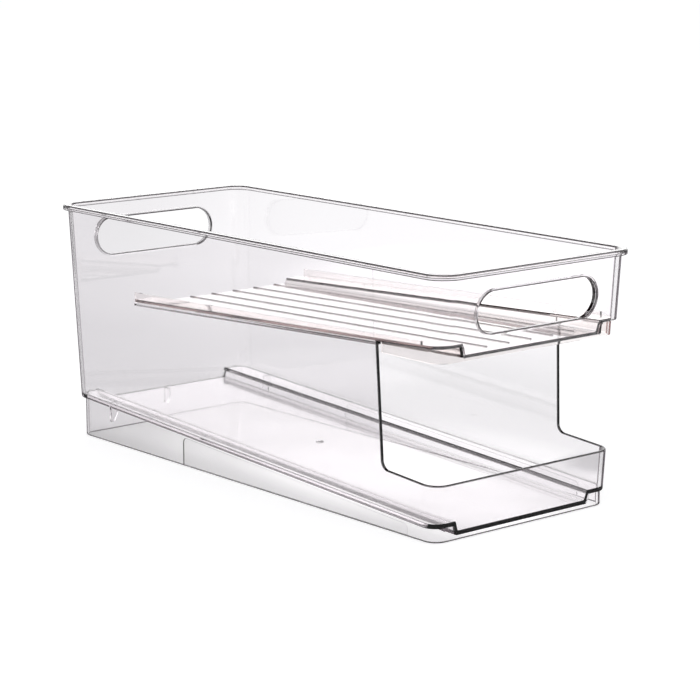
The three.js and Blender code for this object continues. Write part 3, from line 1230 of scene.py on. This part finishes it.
@dataclass
class UpperShelf:
    """The shelf that lifts out, in millimetres."""

    seat: ShelfSeat
    upstand_thickness: float = 1.5
    upstand_front: float = 1.6
    upstand_rear: float = 4.2
    apron_thickness: float = 1.5
    apron_depth: float = 10.0
    apron_clearance: float = 1.2
    rib_count: int = 6
    rib_height: float = 0.6
    rib_foot: float = 1.5
    rib_top: float = 0.9
    rib_rounding: float = 0.2
    rib_from_front: float = 10.0
    rib_tail: float = 5.0
    edge_rounding: float = 0.3
    overlap: float = 0.4
    # Painted shade on the shelf's cut edges, as a share of the dark edge colour.
    cut_painted_shade: float = 1.0

    def tray(self) -> Solid:
        """Make the shelf's plate with its rails and trough.

        Returns:
            The plate, still wider than the space between the walls.
        """
        s, far = self.seat, self.seat.walls.length / 2 + OVERRUN
        top = bar(s.section(0, -s.walls.height), -far, s.rear)
        return top.minus(bar(s.section(s.thickness, -2 * s.walls.height), -far - OVERRUN, far))

    def upstands(self) -> Solid:
        """Make the low upstand along each side, before its outer face is cut.

        Returns:
            Both upstands.
        """
        s, w = self.seat, self.seat.walls
        behind = w.block(s.inset + self.upstand_thickness, -OVERRUN, w.height + OVERRUN)

        def section(side: Side, y: float) -> list[Point]:
            """Draw one side's upstand at a place along the shelf.

            Args:
                side: The side.
                y: The place.

            Returns:
                Its section in X and Z.
            """
            inner, outer = side.value * (s.half - w.rail_width), side.value * (s.half + OVERRUN)
            low = s.height(y) - self.overlap
            high = s.height(y) + s.along(self.upstand_front, self.upstand_rear, y)
            return [(inner, low), (outer, low), (outer, high), (inner, high)]

        return joined(bar(partial(section, side), s.front + w.corner_radius, s.rear).minus(behind)
                      for side in Side)

    def apron(self) -> Solid:
        """Make the apron that hangs in the head of the window, before its outer face is cut.

        Returns:
            The apron.
        """
        s, w = self.seat, self.seat.walls
        far, low = w.length / 2 + OVERRUN, s.front_height - self.apron_depth
        rear = s.window_head - self.apron_clearance
        outline = [(-far, low), (rear, low), (rear, s.height(rear)), (-far, s.height(-far))]
        under = bar(s.section(s.thickness - self.overlap, -w.height), -far, far)
        inside = w.block(s.inset + self.apron_thickness, -OVERRUN, w.height + OVERRUN)
        return side_plate(outline, -w.width, w.width).within(under).minus(inside)

    def rib(self) -> Solid:
        """Make one rib, in the middle of the trough.

        Returns:
            The rib.
        """
        s, foot, top, soft = self.seat, self.rib_foot / 2, self.rib_top / 2, self.rib_rounding

        def section(y: float) -> list[Point]:
            """Draw the rib at a place along the shelf.

            Args:
                y: The place.

            Returns:
                Its section in X and Z.
            """
            level = s.height(y) - s.step(y)
            low, high = level - s.thickness / 2, level + self.rib_height
            return filleted([(-foot, low, 0), (foot, low, 0), (top, high, soft), (-top, high, soft)])

        places = (s.front + self.rib_from_front, s.rear - self.rib_tail, s.rear)
        return Solid.from_rings([[(x, y, z) for x, z in section(y)] for y in places])

    def rib_tree(self) -> NodeTree:
        """Build the tree that lays one rib side by side across the trough.

        Returns:
            The tree.
        """
        tree = new_tree("rib_row", {"Count": "NodeSocketInt", "Pitch": "NodeSocketFloat",
                                    "Material": "NodeSocketMaterial"})
        given = add(tree, "NodeGroupInput").outputs
        gaps = add(tree, "ShaderNodeMath", {0: given["Count"], 1: 1.0}, operation="SUBTRACT")
        span = add(tree, "ShaderNodeMath", {0: gaps.outputs[0], 1: given["Pitch"]},
                   operation="MULTIPLY")
        half = add(tree, "ShaderNodeMath", {0: span.outputs[0], 1: -0.5}, operation="MULTIPLY")
        start = add(tree, "ShaderNodeCombineXYZ", {"X": half.outputs[0]})
        stride = add(tree, "ShaderNodeCombineXYZ", {"X": given["Pitch"]})
        row = add(tree, "GeometryNodeMeshLine", {
            "Count": given["Count"], "Start Location": start.outputs[0], "Offset": stride.outputs[0]})
        laid = add(tree, "GeometryNodeInstanceOnPoints", {
            "Points": row.outputs[0], "Instance": given["Geometry"]})
        return finished_tree(tree, laid.outputs[0], given["Material"])

    def ribs(self, material: Material) -> Solid:
        """Lay the ribs across the trough.

        Args:
            material: The shelf's clear plastic.

        Returns:
            All the ribs.
        """
        s = self.seat
        pitch = 2 * (s.half - s.walls.rail_width - s.walls.step_run) / self.rib_count
        row = Solid.from_mesh(run_tree(self.rib_tree(), self.rib().mesh, {
            "Count": self.rib_count, "Pitch": pitch, "Material": material}))
        return row.with_end_rounded(s.rear - self.rib_tail)

    def build(self, material: Material) -> Object:
        """Join the forms and dress the shelf.

        Args:
            material: The shelf's clear plastic.

        Returns:
            The finished piece.
        """
        s = self.seat
        edge, side = (s.walls.block(s.inset, 0, s.walls.height, mark)
                      for mark in (Mark.CUT, Mark.MOULDED))
        body = self.tray().within(edge).plus(self.apron().plus(self.upstands()).within(side))
        body = body.plus(self.ribs(material))
        body = body.softened(self.edge_rounding, steps=2)
        piece = body.piece("shelf_moulding", material, self.cut_painted_shade)
        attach(piece, "shelf")
        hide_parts("upper_shelf")
        return piece


@dataclass(frozen=True)
class PaintedSpot:
    """A round place on the paper with painted shade where its level is below 1 and painted light where
    it is above, seen only through the plastic, in metres.
    """

    centre: Place
    reach: Span
    level: float


@dataclass(frozen=True)
class FloorPaper:
    """Matt studio paper, pressed and uncoated.

    The eye sees plain white with a soft shadow. Clear plastic shows other places of the paper
    than the one behind it, and only through the plastic does the paper carry a painted pool of
    light and painted shade, some places darker and some brighter, which gives the walls their greys.
    Lengths are in metres.
    """

    name: str = "floor_paper"
    tint: str = "#b4b4b6"
    glow_seen: float = 0.72
    # Painted shade towards the left and beside the near wall, seen only through the plastic.
    fade_across: Place = (0.768, -0.64, 0.0)
    fade_from: Span = (-0.22, 0.0)
    fade_level: Span = (0.78, 1.0)
    near_from: Span = (-0.06, -0.03)
    near_level: float = 0.78
    pool_shift: Place = (0.0, 0.06, 0.0)
    pool_scale: Place = (1.9, 0.9, 1.0)
    # How bright the painted pool of light is, by distance from its middle.
    pool_levels: tuple[Span, ...] = (
        (0.0, 1.3), (0.06, 1.2), (0.13, 0.96), (0.2, 0.78), (0.3, 0.58), (0.5, 0.58), (0.75, 0.68),
        (1.0, 0.75))
    # Painted spots of shade and of light, seen only through the plastic.
    painted_spots: tuple[PaintedSpot, ...] = (PaintedSpot((0.133, -0.1, 0.0), (0.012, 0.034), 0.45),
                               PaintedSpot((0.54, 0.41, 0.0), (0.12, 0.22), 1.35),
                               PaintedSpot((0.18, 0.22, 0.0), (0.05, 0.1), 1.12))

    def _painted_light_pool(self, tree: NodeTree, place: NodeSocket) -> NodeSocket:
        """Paint a pool of light under the object that falls off all round, seen only through the
        plastic.

        Args:
            tree: The material's tree.
            place: The place on the paper.

        Returns:
            How bright the painted light is there.
        """
        centred = add(tree, "ShaderNodeVectorMath", {0: place, 1: self.pool_shift}, operation="ADD")
        shrunk = add(tree, "ShaderNodeVectorMath", {0: centred.outputs[0], 1: self.pool_scale},
                     operation="MULTIPLY")
        away = add(tree, "ShaderNodeVectorMath", {0: shrunk.outputs[0]}, operation="LENGTH")
        pool = add(tree, "ShaderNodeValToRGB", {"Fac": away.outputs["Value"]})
        ramp = pool.color_ramp
        ramp.interpolation = "EASE"
        while len(ramp.elements) < len(self.pool_levels):
            ramp.elements.new(0.5)
        for stop, (share, level) in zip(ramp.elements, self.pool_levels):
            stop.position, stop.color = share, grey(level)
        return pool.outputs["Color"]

    def _painted_shade(self, tree: NodeTree, place: NodeSocket) -> NodeSocket:
        """Paint shade on the paper to the left and beside the near wall, and paint the spots of shade
        and light on it.

        Args:
            tree: The material's tree.
            place: The place on the paper.

        Returns:
            What share of the light is left there.
        """
        across = add(tree, "ShaderNodeVectorMath", {0: place, 1: self.fade_across},
                     operation="DOT_PRODUCT")
        shade = add(tree, "ShaderNodeMapRange", {
            "Value": across.outputs["Value"], **ends("From", self.fade_from),
            **ends("To", self.fade_level)}, interpolation_type="SMOOTHSTEP")
        split = add(tree, "ShaderNodeSeparateXYZ", {"Vector": place})
        near = add(tree, "ShaderNodeMapRange", {
            "Value": split.outputs["X"], **ends("From", self.near_from),
            "To Min": self.near_level}, interpolation_type="SMOOTHSTEP")
        left = add(tree, "ShaderNodeMath", {0: shade.outputs["Result"], 1: near.outputs["Result"]},
                   operation="MULTIPLY")
        for spot in self.painted_spots:
            off = add(tree, "ShaderNodeVectorMath", {0: place, 1: spot.centre},
                      operation="DISTANCE")
            share = add(tree, "ShaderNodeMapRange", {
                "Value": off.outputs["Value"], **ends("From", spot.reach),
                "To Min": spot.level}, interpolation_type="SMOOTHSTEP")
            left = add(tree, "ShaderNodeMath", {0: left.outputs[0], 1: share.outputs["Result"]},
                       operation="MULTIPLY")
        return left.outputs[0]

    def build(self) -> Material:
        """Build the material's nodes.

        Returns:
            The finished material.
        """
        material = bpy.data.materials.new(self.name)
        tree = empty_tree(material)
        path = add(tree, "ShaderNodeLightPath").outputs
        place = add(tree, "ShaderNodeTexCoord").outputs["Object"]
        # Rays through the plastic see the paper glow with the painted pool of light and painted shade;
        # the camera sees its even glow.
        lit = add(tree, "ShaderNodeMath", {
            0: self._painted_shade(tree, place), 1: self._painted_light_pool(tree, place)}, operation="MULTIPLY")
        direct = add(tree, "ShaderNodeMath", {0: path["Is Camera Ray"], 1: self.glow_seen},
                     operation="MULTIPLY")
        seen = add(tree, "ShaderNodeMix", {
            "Factor": path["Is Transmission Ray"], "A": direct.outputs[0], "B": lit.outputs[0]})
        paper = add(tree, "ShaderNodeBsdfDiffuse", {"Color": linear(self.tint)})
        glow = add(tree, "ShaderNodeEmission", {
            "Color": linear(WHITE), "Strength": seen.outputs["Result"]})
        both = add(tree, "ShaderNodeAddShader", {0: paper.outputs[0], 1: glow.outputs[0]})
        add(tree, "ShaderNodeOutputMaterial", {"Surface": both.outputs[0]})
        return material


@dataclass(frozen=True)
class StudioAir:
    """The light that comes from all round, chosen by the kind of ray.

    The camera sees white behind the object. Plastic shows a bright box of light low down and a
    dark warm room overhead.
    """

    level: float = 0.62
    box_level: float = 1.9
    box_rise: float = 0.08
    room_band: Span = (0.28, 0.40)
    room_tint: str = "#46363a"

    def _mixed(self, tree: NodeTree, share: NodeSocket, first: Any, second: Any) -> NodeSocket:
        """Mix two colours, each a plain value or a socket.

        Args:
            tree: The world's tree.
            share: How much of the second colour, 0 to 1.
            first: The first colour.
            second: The second colour.

        Returns:
            The mixed colour.
        """
        mix = add(tree, "ShaderNodeMix", {"Factor": share, "A": first, "B": second},
                  data_type="RGBA")
        return mix.outputs["Result"]

    def build(self) -> None:
        """Build the world's nodes."""
        world = bpy.data.worlds.new("studio")
        bpy.context.scene.world = world
        tree = empty_tree(world)
        path = add(tree, "ShaderNodeLightPath").outputs
        way = add(tree, "ShaderNodeTexCoord")
        split = add(tree, "ShaderNodeSeparateXYZ", {"Vector": way.outputs["Generated"]})
        overhead = add(tree, "ShaderNodeMapRange", {
            "Value": split.outputs["Z"], **ends("From", self.room_band)},
            interpolation_type="SMOOTHSTEP")
        rising = add(tree, "ShaderNodeMapRange", {
            "Value": split.outputs["Z"], "From Min": 0.0, "From Max": self.box_rise, "To Min": 1.0,
            "To Max": self.box_level}, interpolation_type="SMOOTHSTEP")
        mirrored, through = (
            self._mixed(tree, overhead.outputs["Result"], low, linear(self.room_tint))
            for low in (grey(self.box_level), rising.outputs["Result"]))
        colour = grey(self.level)
        for ray, sent in (("Is Glossy Ray", mirrored), ("Is Transmission Ray", through),
                          ("Is Camera Ray", linear(WHITE))):
            colour = self._mixed(tree, path[ray], colour, sent)
        light = add(tree, "ShaderNodeBackground", {"Color": colour, "Strength": 1.0})
        add(tree, "ShaderNodeOutputWorld", {"Surface": light.outputs[0]})


@dataclass(frozen=True)
class SoftLamp:
    """One square soft lamp that faces the object, in metres and watts."""

    name: str
    place: Place
    power: float
    size: float = 1.4

    def hang(self) -> None:
        """Hang the lamp."""
        data = bpy.data.lights.new(self.name, "AREA")
        data.size, data.energy = self.size, self.power
        lamp = placed(self.name, data)
        lamp.location = self.place
        lamp.rotation_euler = (-Vector(self.place)).to_track_quat("-Z", "Y").to_euler()


@dataclass(frozen=True)
class Studio:
    """Plain pale floor, soft lamps, a bright backdrop and the camera, in metres and degrees."""

    eye: Place = (-0.8743, -1.0487, 0.3489)
    azimuth: float = -39.819
    elevation: float = 11.439
    roll: float = -0.091
    focal_pixels: float = 2355.04
    frame_pixels: float = 700.0
    centre_offset: Span = (-22.04, -2.87)
    sensor: float = 36.0
    clip: Span = (0.05, 50.0)
    floor_half: float = 6.0
    floor_drop: float = 0.0004
    paper: FloorPaper = FloorPaper()
    air: StudioAir = StudioAir()
    lamps: tuple[SoftLamp, ...] = (SoftLamp("left_softbox", (-1.6, -0.6, 1.3), 14.0),
                                   SoftLamp("right_softbox", (1.5, -1.0, 1.4), 9.0))

    def camera(self) -> None:
        """Place the camera as it was solved from the photograph."""
        data = bpy.data.cameras.new("camera")
        data.sensor_width = self.sensor
        data.lens = self.focal_pixels / self.frame_pixels * self.sensor
        data.shift_x = -self.centre_offset[0] / self.frame_pixels
        data.shift_y = self.centre_offset[1] / self.frame_pixels
        data.clip_start, data.clip_end = self.clip
        camera = placed("camera", data)
        a, e = math.radians(self.azimuth), math.radians(self.elevation)
        back = Vector((math.sin(a) * math.cos(e), -math.cos(a) * math.cos(e), math.sin(e)))
        turn = (-back).to_track_quat("-Z", "Y").to_matrix().to_4x4()
        roll = Matrix.Rotation(math.radians(self.roll), 4, "Z")
        camera.matrix_world = Matrix.Translation(self.eye) @ turn @ roll
        bpy.context.scene.camera = camera

    def floor(self) -> None:
        """Lay the pale floor, which keeps the shadow and reads as the white backdrop."""
        half = self.floor_half
        mesh = bpy.data.meshes.new("floor")
        corners = [(-half, -half), (half, -half), (half, half), (-half, half)]
        mesh.from_pydata([(x, y, -self.floor_drop) for x, y in corners], [], [(0, 1, 2, 3)])
        mesh.materials.append(self.paper.build())
        floor = placed("floor", mesh)

    def build(self) -> None:
        """Set up everything that isn't the object."""
        bpy.context.scene.view_settings.view_transform = "Standard"
        self.camera()
        self.air.build()
        for lamp in self.lamps:
            lamp.hang()
        self.floor()


def main() -> None:
    """Build the studio and the pieces, and log each piece's faces."""
    logging.basicConfig(level=logging.INFO, format="%(name)s: %(message)s")
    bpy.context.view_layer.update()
    Studio().build()
    walls = Walls()
    seat = ShelfSeat(walls)
    for part, finish in ((BinBody(walls, seat), ClearPolystyrene()),
                         (UpperShelf(seat), SHELF_POLYSTYRENE)):
        piece = part.build(finish.build())
        log.info("%s: %d faces", piece.name, len(piece.data.polygons))


if __name__ == "__main__":
    main()
